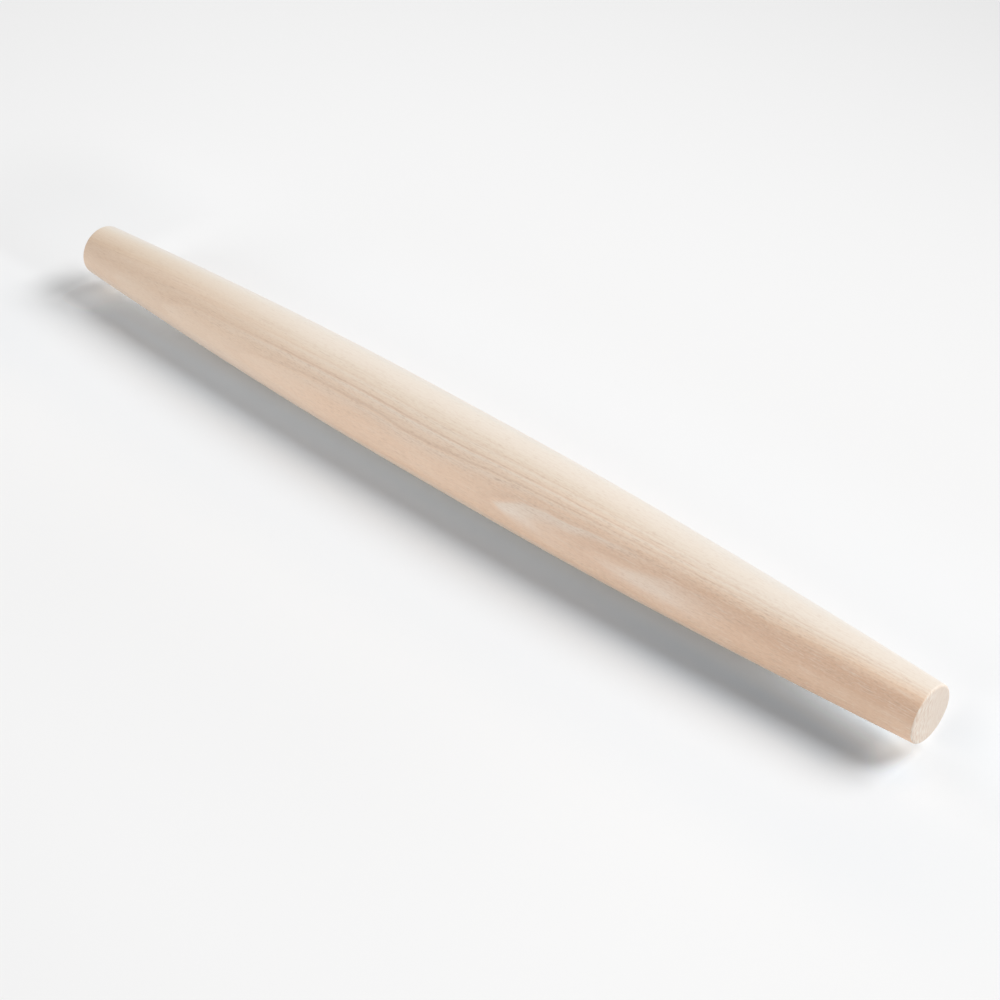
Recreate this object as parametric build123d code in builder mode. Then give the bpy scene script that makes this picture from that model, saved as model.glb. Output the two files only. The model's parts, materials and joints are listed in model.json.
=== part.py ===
from build123d import *
import os

# French rolling pin: one piece of turned beech, thickest in the middle and tapered to both ends.
# The turning axis lies along X, and the middle of the belly rests on the plane Z = 0.

# Overall sizes
pin_length = 500.0
belly_diameter = 40.0
end_diameter = 25.6

# Straight cylinder in the middle of the belly, on which the pin rests and rolls
belly_land_length = 40.0

# The taper starts level and leans in steadily: this far from the middle, it lies this much below the belly
shoulder_distance = 125.0
shoulder_fall = 1.65

# Sanded rounding of the rims of the two end faces
rim_radius = 1.0

half_length = pin_length / 2
half_land = belly_land_length / 2
belly_radius = belly_diameter / 2
shoulder_radius = belly_radius - shoulder_fall
end_radius = end_diameter / 2

# Upright plane through the turning axis, which lies one belly radius above the table
turning_plane = Plane.XZ.shift_origin((0, 0, belly_radius))

os.makedirs("parts", exist_ok=True)

# The pin: a quarter of its long section, with the rim eased, is mirrored and turned about the axis
with BuildPart() as rolling_pin:
    with BuildSketch(turning_plane) as half_section:
        with BuildLine() as outline:
            axis_line = Line((0, 0), (half_length, 0))
            end_face = Line(axis_line @ 1, (half_length, end_radius))
            land = Line((0, belly_radius), (half_land, belly_radius))
            # The taper is two long arcs, tangent to the land and to each other
            shoulder = TangentArc(
                land @ 1,
                (shoulder_distance, shoulder_radius),
                tangent=land % 1,
            )
            taper = TangentArc(shoulder @ 1, end_face @ 1, tangent=shoulder % 1)
            middle = Line(axis_line @ 0, land @ 0)
        make_face()
        rim = half_section.vertices().group_by(Axis.X)[-1].sort_by(Axis.Y)[-1]
        fillet(rim, radius=rim_radius)
        mirror(about=Plane.YZ)
    revolve(axis=Axis(turning_plane.origin, turning_plane.x_dir))

rolling_pin.part.label = "rolling_pin"
export_step(rolling_pin.part, "parts/rolling_pin.step")
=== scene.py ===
import bpy
import json
import math
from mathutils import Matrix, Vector


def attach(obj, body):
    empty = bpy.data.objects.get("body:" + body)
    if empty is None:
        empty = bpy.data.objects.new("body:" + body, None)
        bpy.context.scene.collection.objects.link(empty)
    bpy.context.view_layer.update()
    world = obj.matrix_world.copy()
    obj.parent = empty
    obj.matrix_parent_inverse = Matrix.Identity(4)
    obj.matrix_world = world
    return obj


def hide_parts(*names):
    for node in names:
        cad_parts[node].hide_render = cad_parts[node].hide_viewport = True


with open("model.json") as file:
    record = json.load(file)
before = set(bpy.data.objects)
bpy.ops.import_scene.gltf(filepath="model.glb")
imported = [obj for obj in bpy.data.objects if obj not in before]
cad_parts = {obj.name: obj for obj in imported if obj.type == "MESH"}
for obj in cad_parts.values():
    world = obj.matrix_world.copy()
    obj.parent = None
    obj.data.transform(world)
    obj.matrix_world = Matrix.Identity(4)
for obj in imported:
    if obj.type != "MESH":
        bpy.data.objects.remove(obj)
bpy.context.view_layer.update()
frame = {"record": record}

# Sizes of the pin, in metres, as the CAD part has them
mounts = {mount["name"]: mount for mount in frame["record"]["mounts"]}
belly_radius = mounts["belly_land"]["dims"]["r_mm"] / 1000
land_length = mounts["belly_land"]["dims"]["length_mm"] / 1000
pin_length = 2 * mounts["right_end_face"]["pos_m"][0]
end_radius = 0.0128
shoulder_distance = 0.125
shoulder_fall = 0.00165
rim_radius = 0.001

# How finely the turned surface is divided, and how near two points are to count as one
side_stations = 64
rim_stations = 12
face_rings = 8
segments = 192
weld_distance = 1e-6


class Signal:
    """One socket of a node tree, used in expressions as if it were a number."""

    def __init__(self, tree, socket=None):
        self.tree = tree
        self.socket = socket

    def node(self, kind, settings=None, sockets=None, out=0):
        """Adds any node: its settings first, then the values or links of its sockets."""
        made = self.tree.nodes.new(kind)
        for name, setting in (settings or {}).items():
            if name == "stops":
                set_ramp_stops(made, setting, "CONSTANT")
            elif name == "blended_stops":
                set_ramp_stops(made, setting, "LINEAR")
            elif name == "points":
                set_curve_points(made, setting)
            else:
                setattr(made, name, setting)
        for name, value in (sockets or {}).items():
            if isinstance(value, Signal):
                self.tree.links.new(value.socket, made.inputs[name])
            else:
                made.inputs[name].default_value = value
        return Signal(self.tree, made.outputs[out] if made.outputs else None)

    def maths(self, operation, *values):
        settings = {"operation": operation}
        return self.node("ShaderNodeMath", settings, dict(enumerate(values)))

    def __add__(self, other):
        return self.maths("ADD", self, other)

    def __radd__(self, other):
        return self.maths("ADD", other, self)

    def __sub__(self, other):
        return self.maths("SUBTRACT", self, other)

    def __rsub__(self, other):
        return self.maths("SUBTRACT", other, self)

    def __mul__(self, other):
        return self.maths("MULTIPLY", self, other)

    def __rmul__(self, other):
        return self.maths("MULTIPLY", other, self)

    def __truediv__(self, other):
        return self.maths("DIVIDE", self, other)

    def __rtruediv__(self, other):
        return self.maths("DIVIDE", other, self)

    def __pow__(self, other):
        return self.maths("POWER", self, other)

    def __neg__(self):
        return self.maths("MULTIPLY", self, -1.0)

    def __abs__(self):
        return self.maths("ABSOLUTE", self)

    def share(self, low, high):
        """0 below low, 1 above high, and in proportion in between."""
        sockets = {"Value": self, "From Min": low, "From Max": high}
        return self.node("ShaderNodeMapRange", {"clamp": True}, sockets)

    def between(self, low, high):
        """0 below low, 1 above high, and a soft step in between."""
        sockets = {"Value": self, "From Min": low, "From Max": high}
        return self.node("ShaderNodeMapRange", {"interpolation_type": "SMOOTHSTEP"}, sockets)

    def within(self, rise, fall):
        """0 up to the rise, 1 from there to the fall, and 0 past it, each with a soft step."""
        return self.between(*rise) * (1.0 - self.between(*fall))

    def on_curve(self, points):
        """This value, from 0 to 1, carried along straight lines from point to point."""
        return self.node("ShaderNodeFloatCurve", {"points": points}, {"Value": self}, "Value")

    def axes(self):
        """The X, Y and Z of a place."""
        parted = self.node("ShaderNodeSeparateXYZ", None, {0: self}).socket.node
        return [Signal(self.tree, socket) for socket in parted.outputs]

    def place_maths(self, operation, numbers):
        """A place with its X, Y and Z each worked on by a number of their own."""
        sockets = {0: self, 1: numbers}
        return self.node("ShaderNodeVectorMath", {"operation": operation}, sockets)

    def toward(self, goal, amount):
        """A colour moved by this amount, from 0 to 1, towards another, which may be three numbers."""
        goal = (*goal, 1.0) if isinstance(goal, tuple) else goal
        sockets = {0: amount, 6: self, 7: goal}
        return self.node("ShaderNodeMix", {"data_type": "RGBA"}, sockets, 2)


def set_ramp_stops(made, stops, interpolation):
    made.color_ramp.interpolation = interpolation
    elements = made.color_ramp.elements
    while len(elements) < len(stops):
        elements.new(0.5)
    for element, (position, colour) in zip(elements, stops):
        element.position = position
        element.color = (*colour, 1.0)


def set_curve_points(made, points):
    """Straight lines from point to point, both axes from 0 to 1."""
    curve = made.mapping.curves[0]
    while len(curve.points) < len(points):
        curve.points.new(0.5, 0.5)
    for point, place in zip(curve.points, points):
        point.location = place
        point.handle_type = "VECTOR"
    made.mapping.update()


# The pin's shape: a grid whose rows are stations along half the profile, wrapped round the axis
def turned_pin_tree(finish):
    tree = bpy.data.node_groups.new("turned_pin", "GeometryNodeTree")
    names = (
        "Pin Length", "Belly Radius", "Land Length", "Shoulder Distance", "Shoulder Fall",
        "End Radius", "Rim Radius", "Side Stations", "Rim Stations", "Face Rings", "Segments",
    )
    for name in names:
        tree.interface.new_socket(name=name, in_out="INPUT", socket_type="NodeSocketFloat")
    tree.interface.new_socket(name="Pin", in_out="OUTPUT", socket_type="NodeSocketGeometry")
    given = tree.nodes.new("NodeGroupInput")
    sizes = {name: Signal(tree, given.outputs[name]) for name in names}
    start = Signal(tree)

    belly = sizes["Belly Radius"]
    half_length = sizes["Pin Length"] * 0.5
    half_land = sizes["Land Length"] * 0.5
    reach = sizes["Shoulder Distance"] - half_land
    fall = sizes["Shoulder Fall"]
    rim = sizes["Rim Radius"]

    # Shoulder arc: tangent to the land, and through the shoulder point
    shoulder_arc = (reach * reach + fall * fall) / (2.0 * fall)
    # Taper arc: tangent to the shoulder arc, and through the edge of the end face
    lean_in = -(reach / shoulder_arc)
    lean_down = -((shoulder_arc - fall) / shoulder_arc)
    shoulder_height = belly - fall
    run = half_length - sizes["Shoulder Distance"]
    drop = sizes["End Radius"] - shoulder_height
    taper_arc = (run * run + drop * drop) / (2.0 * (run * lean_in + drop * lean_down))
    taper_crest = shoulder_height + taper_arc * lean_in * lean_in / (1.0 - lean_down)
    taper_centre = sizes["Shoulder Distance"] + taper_arc * lean_in

    # Eased rim: a small arc tangent to the taper arc and to the end face
    rim_centre = half_length - rim
    rim_reach = rim_centre - taper_centre
    inner_arc = taper_arc - rim
    inner_depth = (inner_arc * inner_arc - rim_reach * rim_reach) ** 0.5
    rim_height = taper_crest - rim - rim_reach * rim_reach / (inner_arc + inner_depth)
    rim_lean = start.maths("ARCSINE", rim_reach / inner_arc)
    side_end = rim_centre + rim * rim_reach / inner_arc

    rows = sizes["Side Stations"] + sizes["Rim Stations"] + sizes["Face Rings"]
    grid_sockets = {
        "Size X": 1.0,
        "Size Y": 1.0,
        "Vertices X": 2.0 * rows + 1.0,
        "Vertices Y": sizes["Segments"] + 1.0,
    }
    grid = start.node("GeometryNodeMeshGrid", None, grid_sockets, "Mesh")
    grid_x, grid_y, _ = start.node("GeometryNodeInputPosition").axes()
    station = start.maths("ROUND", grid_x * 2.0 * rows)
    end_sign = start.maths("SIGN", station)
    station = abs(station)

    # The three stretches of the profile, each counted from 0 to 1
    rim_start = sizes["Side Stations"]
    face_start = rim_start + sizes["Rim Stations"]
    on_side = station.share(0.0, rim_start)
    round_rim = station.share(rim_start, face_start)
    across_face = station.share(face_start, rows)

    side_x = side_end * start.maths("SINE", on_side * (math.pi / 2))
    from_land = start.maths("MAXIMUM", side_x - half_land, 0.0)
    shoulder_depth = (shoulder_arc * shoulder_arc - from_land * from_land) ** 0.5
    shoulder_side = belly - from_land * from_land / (shoulder_arc + shoulder_depth)
    from_crest = side_x - taper_centre
    taper_depth = (taper_arc * taper_arc - from_crest * from_crest) ** 0.5
    taper_side = taper_crest - from_crest * from_crest / (taper_arc + taper_depth)
    past_shoulder = start.maths("GREATER_THAN", side_x, sizes["Shoulder Distance"])
    side_radius = shoulder_side + past_shoulder * (taper_side - shoulder_side)

    rim_angle = rim_lean + round_rim * (math.pi / 2 - rim_lean)
    rim_x = rim_centre + rim * start.maths("SINE", rim_angle)
    rim_radius_there = rim_height + rim * start.maths("COSINE", rim_angle)
    face_radius = rim_radius_there * (1.0 - across_face * across_face)

    past_side = start.maths("GREATER_THAN", station, rim_start)
    along = end_sign * (side_x + past_side * (rim_x - side_x))
    radius = side_radius + past_side * (face_radius - side_radius)
    turn = grid_y * (2 * math.pi)
    turned_sockets = {
        "X": along,
        "Y": radius * start.maths("SINE", turn),
        "Z": belly + radius * start.maths("COSINE", turn),
    }
    turned = start.node("ShaderNodeCombineXYZ", None, turned_sockets)

    wrapped = start.node("GeometryNodeSetPosition", None, {"Geometry": grid, "Position": turned})
    weld_sockets = {"Geometry": wrapped, "Distance": weld_distance}
    closed = start.node("GeometryNodeMergeByDistance", None, weld_sockets)
    smooth = start.node("GeometryNodeSetShadeSmooth", None, {"Geometry": closed})
    real = start.node("GeometryNodeRealizeInstances", None, {"Geometry": smooth})
    finished = start.node("GeometryNodeSetMaterial", None, {"Geometry": real, "Material": finish})
    result = tree.nodes.new("NodeGroupOutput")
    tree.links.new(finished.socket, result.inputs["Pin"])
    return tree


def make_pin(finish):
    tree = turned_pin_tree(finish)
    values = {
        "Pin Length": pin_length,
        "Belly Radius": belly_radius,
        "Land Length": land_length,
        "Shoulder Distance": shoulder_distance,
        "Shoulder Fall": shoulder_fall,
        "End Radius": end_radius,
        "Rim Radius": rim_radius,
        "Side Stations": float(side_stations),
        "Rim Stations": float(rim_stations),
        "Face Rings": float(face_rings),
        "Segments": float(segments),
    }
    pin = bpy.data.objects.new("beech_pin", bpy.data.meshes.new("beech_pin"))
    bpy.context.scene.collection.objects.link(pin)
    turning = pin.modifiers.new("turning", "NODES")
    turning.node_group = tree
    for item in tree.interface.items_tree:
        if item.in_out == "INPUT":
            turning[item.identifier] = values[item.name]
    bpy.context.view_layer.update()
    graph = bpy.context.evaluated_depsgraph_get()
    mesh = bpy.data.meshes.new_from_object(pin.evaluated_get(graph))
    pin.modifiers.remove(turning)
    pin.data = mesh
    return pin


def new_material(name):
    material = bpy.data.materials.new(name)
    material.use_nodes = True
    material.node_tree.nodes.clear()
    return material


# Beech, as solid wood, in millimetres: its rings, rays and pores run right through the pin
mm_per_metre = 1000.0

# The way to the bark, in Y and Z: to the front, 38 degrees below the line from the axis to the camera
bark_direction = (-0.989, 0.146)
ring_bulge = 0.019
heart_side = -22.0
bark_side = 28.0
ring_edges = (
    -22.0, -19.7, -17.9, -15.6, -13.8, -11.5, -9.7, -7.4, -5.2, -3.4, -1.2, 1.0, 2.8, 5.0, 6.9,
    8.8, 10.6, 12.4, 14.6, 16.7, 18.35, 19.5, 20.45, 21.18, 23.0, 24.0, 24.9, 26.2, 28.0,
)
ring_count = len(ring_edges) - 1

# How pale a ring's early wood is, and how dark the line that closes it is
plain_ring = (0.1, 0.12)
marked_rings = {
    1: (0.3, 0.9),
    2: (0.15, 0.5),
    3: (0.6, 1.1),
    4: (0.2, 0.4),
    5: (0.4, 0.9),
    6: (0.1, 0.6),
    7: (0.5, 0.8),
    17: (0.1, 0.25),
    18: (0.1, 0.6),
    19: (0.45, 1.6),
    20: (0.65, 1.5),
    21: (0.35, 0.7),
    22: (0.9, 0.7),
    23: (0.68, 0.5),
    24: (0.15, 0.2),
    25: (0.3, 0.2),
}

# Where in a ring, from 0 to 1, its pale tongue, its late wood and its closing line come and go
tongue_rise = (0.0, 0.15)
tongue_fall = (0.1, 0.6)
tongue_widening = 0.2
late_rise = (0.35, 1.0)
line_rise = (0.78, 0.91)
line_fall = (0.95, 1.0)

# Depths in the tree over which the wood changes
warm_depth = (14.0, 17.0)
worn_depth = (19.6, 20.2)
brown_depth = (20.0, 21.2)
wide_depth = (20.2, 20.5)
last_depth = (20.95, 21.2)

# How far the grain has run out of line at places along the pin
run_out_reach = 250.0
run_out_limit = 12.0
run_out = (
    (-250, 2.8), (-210, 2.4), (-160, 2.0), (-140, 1.45), (-110, 0.85), (-80, 0.45), (-50, 0.2),
    (-20, 0.0), (0, 0.0), (20, 0.15), (42, 0.6), (62, 1.1), (80, 1.55), (97, 2.15), (112, 2.7),
    (125, 3.25), (140, 4.0), (155, 4.9), (175, 6.0), (200, 7.75), (225, 9.7), (250, 11.6),
)

# Heart to bark side: the colour of the wood at depths in the tree, at three places along the pin; the
# creamy heart-side colours on the top hold painted sheen as well
middle_colours = (
    (-22.0, (0.69, 0.555, 0.44)),
    (-13.0, (0.74, 0.625, 0.515)),
    (-5.0, (0.775, 0.71, 0.64)),
    (0.0, (0.785, 0.74, 0.675)),
    (4.0, (0.837, 0.767, 0.68)),
    (8.0, (0.848, 0.763, 0.668)),
    (12.0, (0.842, 0.744, 0.64)),
    (15.0, (0.825, 0.712, 0.59)),
    (17.2, (0.837, 0.695, 0.558)),
    (18.3, (0.885, 0.71, 0.562)),
    (19.2, (0.88, 0.697, 0.545)),
    (20.0, (0.845, 0.623, 0.463)),
    (20.5, (0.825, 0.61, 0.455)),
    (21.5, (0.785, 0.56, 0.414)),
    (24.0, (0.71, 0.485, 0.345)),
)
near_colours = (
    (-22.0, (0.69, 0.555, 0.44)),
    (-5.0, (0.72, 0.665, 0.61)),
    (0.0, (0.745, 0.71, 0.665)),
    (6.0, (0.793, 0.748, 0.685)),
    (12.0, (0.828, 0.748, 0.657)),
    (16.5, (0.835, 0.742, 0.641)),
    (19.0, (0.836, 0.703, 0.575)),
    (20.4, (0.858, 0.668, 0.514)),
    (21.0, (0.825, 0.607, 0.443)),
    (22.2, (0.775, 0.535, 0.377)),
    (24.0, (0.715, 0.497, 0.351)),
)
far_colours = (
    (-22.0, (0.66, 0.53, 0.42)),
    (-10.0, (0.71, 0.61, 0.515)),
    (-4.0, (0.75, 0.695, 0.635)),
    (0.0, (0.765, 0.72, 0.668)),
    (4.0, (0.80, 0.735, 0.65)),
    (8.0, (0.785, 0.678, 0.56)),
    (10.0, (0.768, 0.646, 0.522)),
    (12.0, (0.764, 0.63, 0.498)),
    (13.5, (0.765, 0.60, 0.452)),
    (15.2, (0.789, 0.618, 0.478)),
    (24.0, (0.75, 0.575, 0.43)),
)
# Orange also serves as painted warm bounce light, early wood as a painted pale strip of light, and brown
# partly as painted shade
early_wood_and_edge_light = (0.83, 0.72, 0.62)
tongue_wood = (0.87, 0.775, 0.675)
late_wood = (0.62, 0.42, 0.30)
brown_wood_and_shade = (0.69, 0.44, 0.29)
pore_brown = (0.50, 0.34, 0.24)
orange_wood_and_bounce = (0.93, 0.62, 0.41)
end_wood = (0.83, 0.705, 0.596)
end_pale = (0.91, 0.83, 0.735)

# Stretches along the pin over which a change of the wood comes in, from none to all of it
near_stretch = (95.0, 175.0)
near_brown_stretch = (105.0, 168.0)
near_line_stretch = (80.0, 160.0)
worn_stretch = (82.0, 122.0)
last_ring_reach = 45.0
far_stretch = (-85.0, -220.0)
far_half_stretch = (-40.0, -150.0)
far_crest_stretch = (-45.0, -110.0)
far_ring_stretch = (-80.0, -150.0)
far_tip_stretch = (-218.0, -236.0)
end_face_stretch = (249.5, 249.75)

# Marks in the grain: their lengths along, round and out, how broken up they are, and a seed
ring_waves = ((25.0, 5.0, 5.0), 1.0, 7.0)
stains = ((110.0, 7.0, 7.0), 2.0, 11.0)
line_breaks = ((45.0, 3.0, 3.0), 2.0, 31.0)
fibre_marks = ((14.0, 0.6, 0.6), 2.0, 17.0)
pore_rows = ((70.0, 9.0, 0.42), 1.0, 41.0)
pore_marks = ((4.5, 0.36, 0.36), 1.0, 23.0)
grit_marks = ((1.8, 0.45, 0.45), 1.0, 61.0)
end_flecks = ((60.0, 3.4, 0.5), 1.0, 51.0)
ray_lengths = (3.6, 0.6, 2.4)
seed_shift = (1.0, 1.7, 0.6)
noise_roughness = 0.55

# How much of the wood under it each mark covers, from 0 to 1
tongue_cover = 0.82
late_cover = 0.06
line_cover = 0.23
above_cover = 0.3
far_tip_cover = 0.11
# Painted warm bounce light below the crest, and a painted pale strip of light under the far half
painted_bounce_cover = 0.30
painted_edge_light_cover = 0.35
far_warm_cover = 0.16
fibre_dark = 0.30
fibre_pale = 0.42
row_cover = 0.16
pore_cover = 0.30
grit_dark = 0.30
grit_pale = 0.16
ray_cover = 0.24
end_cover = 0.85
end_fleck_pale = 0.9
end_fleck_dark = 0.45

# The sanded surface
plain_roughness = 0.52
mark_roughness = 0.05
pore_relief = 0.6
ray_relief = 0.4
line_relief = 0.3
relief_strength = 0.25
relief_height = 0.00004


class Wood:
    """A point's place in the tree: X along the grain, Y along the rings and Z out through them."""

    def __init__(self, tree):
        self.start = Signal(tree)
        place = self.start.node("ShaderNodeTexCoord", None, None, "Object")
        tilt = math.atan2(bark_direction[0], bark_direction[1])
        axis_height = belly_radius * mm_per_metre
        wood_sockets = {
            "Vector": place,
            "Location": (0.0, axis_height * math.sin(tilt), -axis_height * math.cos(tilt)),
            "Rotation": (tilt, 0.0, 0.0),
            "Scale": (mm_per_metre, mm_per_metre, mm_per_metre),
        }
        self.place = self.start.node("ShaderNodeMapping", None, wood_sockets)
        self.along, self.round_rings, self.outward = self.place.axes()
        out, across = self.outward, self.round_rings
        self.facing = out / (out * out + across * across) ** 0.5
        self.depth = self.depth_in_tree()
        laid_sockets = {0: self.along, 1: self.round_rings, 2: self.depth}
        self.laid = self.start.node("ShaderNodeCombineXYZ", None, laid_sockets)

    def noise(self, lengths, detail, seed, ground=None):
        """Noise from about -1 to 1 whose blots have these lengths along, round and out."""
        ground = self.place if ground is None else ground
        stretched = ground.place_maths("MULTIPLY", tuple(1.0 / length for length in lengths))
        moved = stretched.place_maths("ADD", tuple(seed * shift for shift in seed_shift))
        noise_sockets = {
            "Vector": moved,
            "Scale": 1.0,
            "Detail": detail,
            "Roughness": noise_roughness,
        }
        noise = moved.node("ShaderNodeTexNoise", None, noise_sockets)
        return (noise - 0.5) * 2.0

    def depth_in_tree(self):
        """Depth with the rings' bulge, the run-out of the grain and a little waviness."""
        span = 2 * run_out_reach
        points = [((x + run_out_reach) / span, out / run_out_limit) for x, out in run_out]
        ran_out = self.along.share(-run_out_reach, run_out_reach).on_curve(points)
        bulged = self.outward + ring_bulge * self.round_rings * self.round_rings
        return bulged + ran_out * run_out_limit + 0.15 * self.noise(*ring_waves)


def count_rings(wood):
    """How far through its ring a point lies, how pale that ring starts and how dark it closes."""
    width = bark_side - heart_side
    points = [((edge - heart_side) / width, n / ring_count) for n, edge in enumerate(ring_edges)]
    counted = wood.depth.share(heart_side, bark_side).on_curve(points) * ring_count
    ring = counted.maths("FLOOR", counted)
    marks = [(*marked_rings.get(n, plain_ring), 0.0) for n in range(ring_count)]
    stops = [(n / ring_count, mark) for n, mark in enumerate(marks)]
    ramp_sockets = {"Fac": (ring + 0.5) / ring_count}
    character = ring.node("ShaderNodeValToRGB", {"stops": stops}, ramp_sockets, "Color")
    paleness = ring.node("ShaderNodeSeparateColor", None, {0: character}, "Red")
    darkness = ring.node("ShaderNodeSeparateColor", None, {0: character}, "Green")
    return counted - ring, paleness, darkness


def colour_by_depth(wood):
    """Creamier towards the heart, on the pin's top, partly the wood's own tone and partly painted sheen;
    pinker towards the bark side, and browner towards both ends.
    """
    depth = wood.depth + 0.6 * wood.noise(*stains)

    def shaded(tones):
        span = tones[-1][0] - heart_side
        stops = [((at - heart_side) / span, tone) for at, tone in tones]
        ramp_sockets = {"Fac": (depth - heart_side) / span}
        return depth.node("ShaderNodeValToRGB", {"blended_stops": stops}, ramp_sockets, "Color")

    colour = shaded(middle_colours).toward(shaded(near_colours), wood.along.share(*near_stretch))
    return colour.toward(shaded(far_colours), wood.along.share(*far_stretch))


def add_rings(wood, colour):
    """Each ring starts pale, deepens slowly and closes with a thin dark line that comes and goes."""
    part, paleness, darkness = count_rings(wood)
    underside = (-wood.round_rings).between(0.0, 5.0) * wood.outward.between(-6.0, 2.0)
    crest = 1.0 - abs(wood.round_rings).between(6.0, 11.0)
    far_crest = crest * wood.along.share(*far_crest_stretch)
    far_rings = wood.along.share(*far_ring_stretch)

    # Pale tongues: wider in the last rings, and worn out towards the near end, in the last ring later
    wider = tongue_widening * wood.depth.between(*wide_depth)
    early = part.within(tongue_rise, (tongue_fall[0] + wider, tongue_fall[1] + wider))
    kept = last_ring_reach * wood.depth.between(*last_depth)
    worn_out = (wood.along - kept).share(*worn_stretch) * wood.depth.between(*worn_depth)
    early = early * (1.0 - 0.9 * underside) * (1.0 - 0.8 * worn_out)
    early = early * (1.0 - 0.55 * far_rings) * (1.0 - 0.45 * far_crest)
    colour = colour.toward(tongue_wood, tongue_cover * paleness * early)
    colour = colour.toward(late_wood, late_cover * darkness * part.between(*late_rise))

    broken = (0.95 + 0.9 * wood.noise(*line_breaks)).share(0.0, 1.5) * 1.5
    line = part.within(line_rise, line_fall) * broken
    line = line * (1.0 - 0.75 * far_rings) * (1.0 - 0.65 * wood.along.share(*near_line_stretch))
    line = line * (1.0 - 0.6 * underside) * (1.0 - 0.6 * far_crest)
    return colour.toward(late_wood, line_cover * darkness * line), line


def add_brown_orange_and_painted_light(wood, colour):
    """The last wood laid is browner above its crest, and near the near end a band on the upper front is
    browner, partly wood and partly painted shade; below the crest, painted warm bounce light makes it
    more orange, and the far half's underside gets a painted paler strip of light.
    """
    above_crest = wood.round_rings
    below_crest = -wood.round_rings
    near_end = wood.along.share(*near_brown_stretch)
    above = above_cover * above_crest.between(0.0, 6.0) * wood.depth.between(*brown_depth)
    # Near the near end, a browner band on the upper front: partly the wood's brown, partly painted shade
    narrowing = wood.along.share(140.0, 200.0)
    near_brown_and_shade = above_crest.between(2.0 - 2.0 * narrowing, 7.5 - 4.0 * narrowing)
    near_brown_and_shade_cover = 0.58 + 0.15 * wood.along.share(205.0, 240.0)
    near_brown_and_shade = near_brown_and_shade * wood.facing.between(0.68, 0.88) * near_brown_and_shade_cover
    colour = colour.toward(brown_wood_and_shade, above + near_end * (near_brown_and_shade - above))
    far_tip = wood.along.share(*far_tip_stretch) * wood.facing.between(0.1, 0.5)
    colour = colour.toward(brown_wood_and_shade, far_tip_cover * far_tip)

    far_half = wood.along.share(*far_half_stretch)
    # Painted warm bounce light from the floor: more orange along the underside
    below = below_crest.between(4.0, 9.0) * (1.0 - 0.7 * below_crest.between(9.5, 12.0))
    colour = colour.toward(orange_wood_and_bounce, painted_bounce_cover * below * (1.0 - 0.6 * far_half))
    # Painted light: a paler strip along the underside of the far half
    painted_edge_light = far_half * below_crest.between(3.0, 8.0)
    colour = colour.toward(early_wood_and_edge_light, painted_edge_light_cover * painted_edge_light)
    far_warm = far_half * above_crest.between(1.0, 6.0) * wood.depth.between(*warm_depth)
    return colour.toward(orange_wood_and_bounce, far_warm_cover * far_warm)


def grain_contrast(wood):
    """How strongly the fine marks stand out: most on the faces to the bark and to the heart."""
    facing = wood.facing
    shown = 0.45 + 0.45 * facing.between(0.1, 0.6) + 0.4 * facing.between(0.6, 0.85)
    shown = shown * (1.0 - 0.3 * facing.between(0.93, 0.99)) + 0.45 * (-facing).between(0.5, 0.9)
    nearer = 0.56 + 0.38 * wood.along.share(-160.0, -10.0)
    nearer = nearer + 0.3 * facing.between(0.2, 0.9) * wood.along.share(50.0, 200.0)
    return shown * nearer


def speckle(colour, marks, step, dark, pale):
    """Darker where the marks rise by up to this step, and paler where they fall by it."""
    colour = colour.toward(late_wood, dark * marks.between(0.0, step))
    return colour.toward(early_wood_and_edge_light, pale * (-marks).between(0.0, step))


def add_fibres_and_pores(wood, colour, shown):
    """Fibres, short dark pores in rows that follow the rings, and fine grit."""
    fibres = wood.noise(*fibre_marks)
    colour = speckle(colour, fibres, 0.7, fibre_dark * shown, fibre_pale * shown)
    rows = wood.noise(*pore_rows, wood.laid)
    in_rows = wood.facing.within((0.2, 0.6), (0.85, 0.95)) + (-wood.facing).between(0.5, 0.9)
    colour = colour.toward(late_wood, row_cover * in_rows * rows.between(0.0, 0.5))
    pores = wood.noise(*pore_marks)
    crowded = 0.5 + 0.9 * rows.between(-0.2, 0.4)
    colour = colour.toward(pore_brown, pore_cover * shown * crowded * pores.between(0.02, 0.5))
    grit = wood.noise(*grit_marks)
    return speckle(colour, grit, 0.5, grit_dark * shown, grit_pale * shown), pores


def ray_dashes(wood):
    """Rays: short thin dashes where they are cut across."""
    ray_place = wood.laid.place_maths("MULTIPLY", tuple(1.0 / length for length in ray_lengths))
    ray_sockets = {"Vector": ray_place, "Scale": 1.0, "Randomness": 1.0}
    gap = ray_place.node("ShaderNodeTexVoronoi", None, ray_sockets, "Distance")
    pick = ray_place.node("ShaderNodeTexVoronoi", None, ray_sockets, "Color")
    pick = pick.node("ShaderNodeSeparateColor", None, {0: pick}, "Red")
    return (1.0 - gap.between(0.12, 0.38)) * pick.between(0.3, 1.0)


def add_end_grain(wood, colour):
    """Paler than the sides, with broken upright lines where the rings are cut across."""
    end = abs(wood.along).between(*end_face_stretch)
    colour = colour.toward(end_wood, end_cover * end)
    flecks = wood.noise(*end_flecks, wood.laid)
    shown = end * (0.3 + 0.7 * wood.outward.between(-4.0, 5.0))
    colour = colour.toward(end_pale, end_fleck_pale * shown * flecks.between(0.0, 0.25))
    return colour.toward(late_wood, end_fleck_dark * shown * (-flecks).between(0.08, 0.35))


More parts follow.
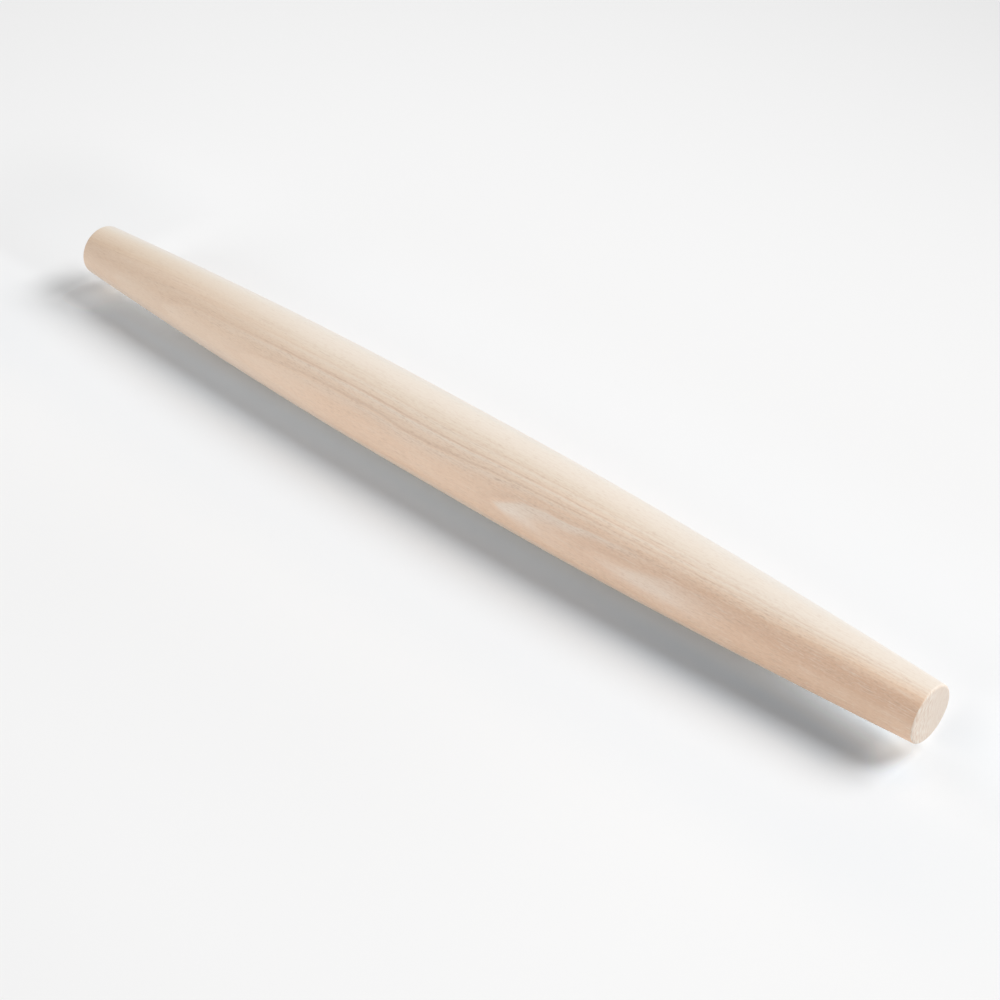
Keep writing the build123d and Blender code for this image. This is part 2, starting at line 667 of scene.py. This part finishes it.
def beech_finish():
    material = new_material("beech")
    wood = Wood(material.node_tree)
    colour, line = add_rings(wood, colour_by_depth(wood))
    colour = add_brown_orange_and_painted_light(wood, colour)
    shown = grain_contrast(wood)
    colour, pores = add_fibres_and_pores(wood, colour, shown)
    rays = ray_dashes(wood)
    colour = colour.toward(pore_brown, ray_cover * shown * rays)
    colour = add_end_grain(wood, colour)

    roughness = plain_roughness + mark_roughness * pores - mark_roughness * rays
    relief = pore_relief * pores + ray_relief * rays + line_relief * line
    bump_sockets = {"Height": -relief, "Strength": relief_strength, "Distance": relief_height}
    bump = relief.node("ShaderNodeBump", None, bump_sockets)
    shader_sockets = {"Base Color": colour, "Roughness": roughness, "Normal": bump}
    shader = colour.node("ShaderNodeBsdfPrincipled", None, shader_sockets)
    shader.node("ShaderNodeOutputMaterial", None, {"Surface": shader})
    return material


# Floor: pale paper, 12 metres across, with a painted pool of light whose tone falls off away from the pin
floor_radius = 6.0
floor_corners = 96
floor_colour = (0.85, 0.85, 0.85)
painted_light_crest = 1.044
fall_along = 0.26
fall_askew = 0.245
fall_across = 0.53
floor_darkest = 0.8
floor_brightest = 1.05
painted_wide_shade = 0.027

# Painted light and shade on the floor: shade in front of the pin, light behind it, shade past its near
# end, light under its tips, a deeper core to its shadow, and its shadow's painted cool tint and lean
painted_front_shade = (-0.042, -0.030, -0.018)
painted_back_light = (0.055, 0.065, 0.077)
painted_end_shade = (-0.16, -0.148, -0.136)
painted_tip_light = (0.19, 0.31, 0.43)
painted_core_shade = (-0.09, -0.068, -0.048)
shadow_tint = (0.87, 0.968, 1.06)
shadow_slope = -0.5

# Painted patches at the pin's tips, light in the shadow under them and shadow past the far tip: change of
# tone, end (1 near, -1 far), then rise and fall outwards and forwards
painted_light_and_shadow_patches = (
    (0.11, 1.0, (0.15, 0.24), (0.24, 0.251), (-0.002, 0.004), (0.008, 0.022)),
    (0.27, 1.0, (0.229, 0.241), (0.242, 0.251), (-0.002, 0.004), (0.018, 0.031)),
    (0.17, -1.0, (0.222, 0.244), (0.255, 0.264), (-0.002, 0.004), (0.018, 0.034)),
    (0.19, -1.0, (0.234, 0.25), (0.252, 0.261), (-0.004, 0.004), (0.017, 0.031)),
    (-0.12, -1.0, (0.258, 0.266), (0.268, 0.288), (-0.008, 0.004), (0.018, 0.036)),
    (-0.055, -1.0, (0.25, 0.275), (0.33, 0.43), (-0.11, -0.045), (0.012, 0.025)),
)


def painted_floor_light(x, y):
    """Painted light on the paper: a painted pool of light brightest by the pin, painted shade in front of
    it, and painted light and shadow patched at its ends.
    """
    forward = -y
    tone = painted_light_crest - fall_along * x * x - fall_askew * x * y - fall_across * y * y
    floor_span = floor_brightest - floor_darkest
    tone = tone.share(floor_darkest, floor_brightest) * floor_span + floor_darkest
    wide_front = forward.within((0.0, 0.05), (0.14, 0.26))
    tone = tone - painted_wide_shade * wide_front * (1.0 - abs(x).between(0.06, 0.24))
    for change, end, outer_rise, outer_fall, front_rise, front_fall in painted_light_and_shadow_patches:
        across = (end * x).within(outer_rise, outer_fall)
        tone = tone + change * across * forward.within(front_rise, front_fall)
    return tone


def painted_floor_shifts(x, y):
    """Where each painted patch of light or shade lies on the floor, with how much it adds to red, green
    and blue.
    """
    forward, far, off_middle = -y, -x, abs(x)
    front = forward.within((-0.01, 0.04), (0.06, 0.11)) * (1.0 - off_middle.between(0.24, 0.36))
    back = y.within((-0.02, 0.02), (0.03, 0.16)) * (1.0 - off_middle.between(0.28, 0.40))
    back = back * (1.0 - 0.7 * far.between(0.12, 0.26))
    past_end = x.within((0.239, 0.25), (0.29, 0.33)) * (1.0 - 0.62 * x.between(0.25, 0.285))
    past_end = past_end * y.within((-0.024, 0.002), (0.01, 0.045))
    tips = x.within((0.15, 0.215), (0.232, 0.248)) + 0.6 * far.within((0.15, 0.215), (0.226, 0.248))
    under_tips = tips * forward.within((-0.01, -0.001), (0.0, 0.014))
    core = x.within((0.08, 0.2), (0.22, 0.235)) * forward.within((0.01, 0.02), (0.026, 0.036))
    return (
        (front, painted_front_shade),
        (back, painted_back_light),
        (past_end, painted_end_shade),
        (under_tips, painted_tip_light),
        (core, painted_core_shade),
    )


def painted_shadow_cast(x, y):
    """Where the pin's shadow gets a painted cool tint, how much light the wood throws there, and the
    shadow's painted lean to one end.
    """
    forward, off_middle = -y, abs(x)
    tinted = forward.within((0.0, 0.018), (0.016, 0.045)) * (1.0 - off_middle.between(0.235, 0.265))
    tinted = tinted * (1.0 - 0.6 * off_middle.between(0.13, 0.22) * forward.between(0.014, 0.03))
    thrown = 1.0 - 4.0 * x * x
    at_tip = x.between(0.195, 0.255) * (1.0 - forward.between(0.012, 0.026))
    return tinted, thrown, shadow_slope * x * (1.0 - at_tip)


def lay_floor():
    """Pale paper with painted light and shade, and a painted cool tint in the pin's shadow, which the
    warm light off the wood turns grey.
    """
    material = new_material("floor_paper_painted_light")
    start = Signal(material.node_tree)
    x, y, _ = start.node("ShaderNodeTexCoord", None, None, "Object").axes()
    tone = painted_floor_light(x, y)
    changes = painted_floor_shifts(x, y)
    tinted, thrown, slope = painted_shadow_cast(x, y)
    colours = []
    for colour, paper_colour in enumerate(floor_colour):
        changed = tone
        for place, amounts in changes:
            changed = changed + amounts[colour] * place
        tint = (shadow_tint[colour] - 1.0) * thrown + slope
        colours.append(paper_colour * changed * (1.0 + tinted * tint))
    paper = start.node("ShaderNodeCombineColor", None, dict(enumerate(colours)))
    shader = start.node("ShaderNodeBsdfDiffuse", None, {"Color": paper})
    start.node("ShaderNodeOutputMaterial", None, {"Surface": shader})
    bpy.ops.mesh.primitive_circle_add(vertices=floor_corners, radius=floor_radius, fill_type="NGON")
    floor = bpy.context.object
    floor.name = "floor"
    floor.data.materials.append(material)


# Studio: an even sky, a large soft lamp behind and to the right, and a dim one low in front
sky_colour = (1.0, 1.0, 1.0, 1.0)
fill_level = 0.22
key_level = 0.815
key_direction = Vector((0.39, 0.542, 0.766)).normalized()
key_distance = 8.0
key_width = 5.5
card_level = 0.135
card_direction = Vector((-0.15, -0.95, 0.28)).normalized()
card_distance = 4.0
card_width = 3.0


def hang_lamp(name, direction, distance, width, level):
    """A round soft lamp that lights a white floor under it to this level."""
    lamp = bpy.data.lights.new(name, "AREA")
    lamp.shape = "DISK"
    lamp.size = width
    lamp.energy = level * math.pi ** 2 * distance ** 2 / direction.z
    holder = bpy.data.objects.new(name, lamp)
    holder.location = direction * distance
    holder.rotation_euler = direction.to_track_quat("Z", "Y").to_euler()
    bpy.context.scene.collection.objects.link(holder)


def light_studio():
    world = bpy.data.worlds.new("studio")
    world.use_nodes = True
    bpy.context.scene.world = world
    sky = world.node_tree.nodes["Background"]
    sky.inputs["Color"].default_value = sky_colour
    sky.inputs["Strength"].default_value = fill_level
    hang_lamp("key", key_direction, key_distance, key_width, key_level)
    hang_lamp("card", card_direction, card_distance, card_width, card_level)


# Camera: fitted to the outline of the pin, in metres, with its lens and sensor in millimetres
camera_aim = Vector((0.01995, 0.00474, 0.0))
camera_distance = 0.98868
camera_azimuth = math.radians(43.222)
camera_elevation = math.radians(37.437)
camera_lens = 80.08
sensor_width = 36.0
nearest_seen = 0.05


def set_camera():
    camera = bpy.data.objects.new("camera", bpy.data.cameras.new("camera"))
    camera.data.lens = camera_lens
    camera.data.sensor_width = sensor_width
    toward = Vector((
        math.cos(camera_elevation) * math.sin(camera_azimuth),
        -math.cos(camera_elevation) * math.cos(camera_azimuth),
        math.sin(camera_elevation),
    ))
    camera.location = camera_aim + toward * camera_distance
    camera.rotation_euler = toward.to_track_quat("Z", "Y").to_euler()
    camera.data.clip_start = nearest_seen
    bpy.context.scene.collection.objects.link(camera)
    bpy.context.scene.camera = camera


set_camera()
light_studio()
lay_floor()

beech = beech_finish()
pin = make_pin(beech)
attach(pin, "root")
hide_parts("rolling_pin")

bpy.context.scene.view_settings.view_transform = "Standard"
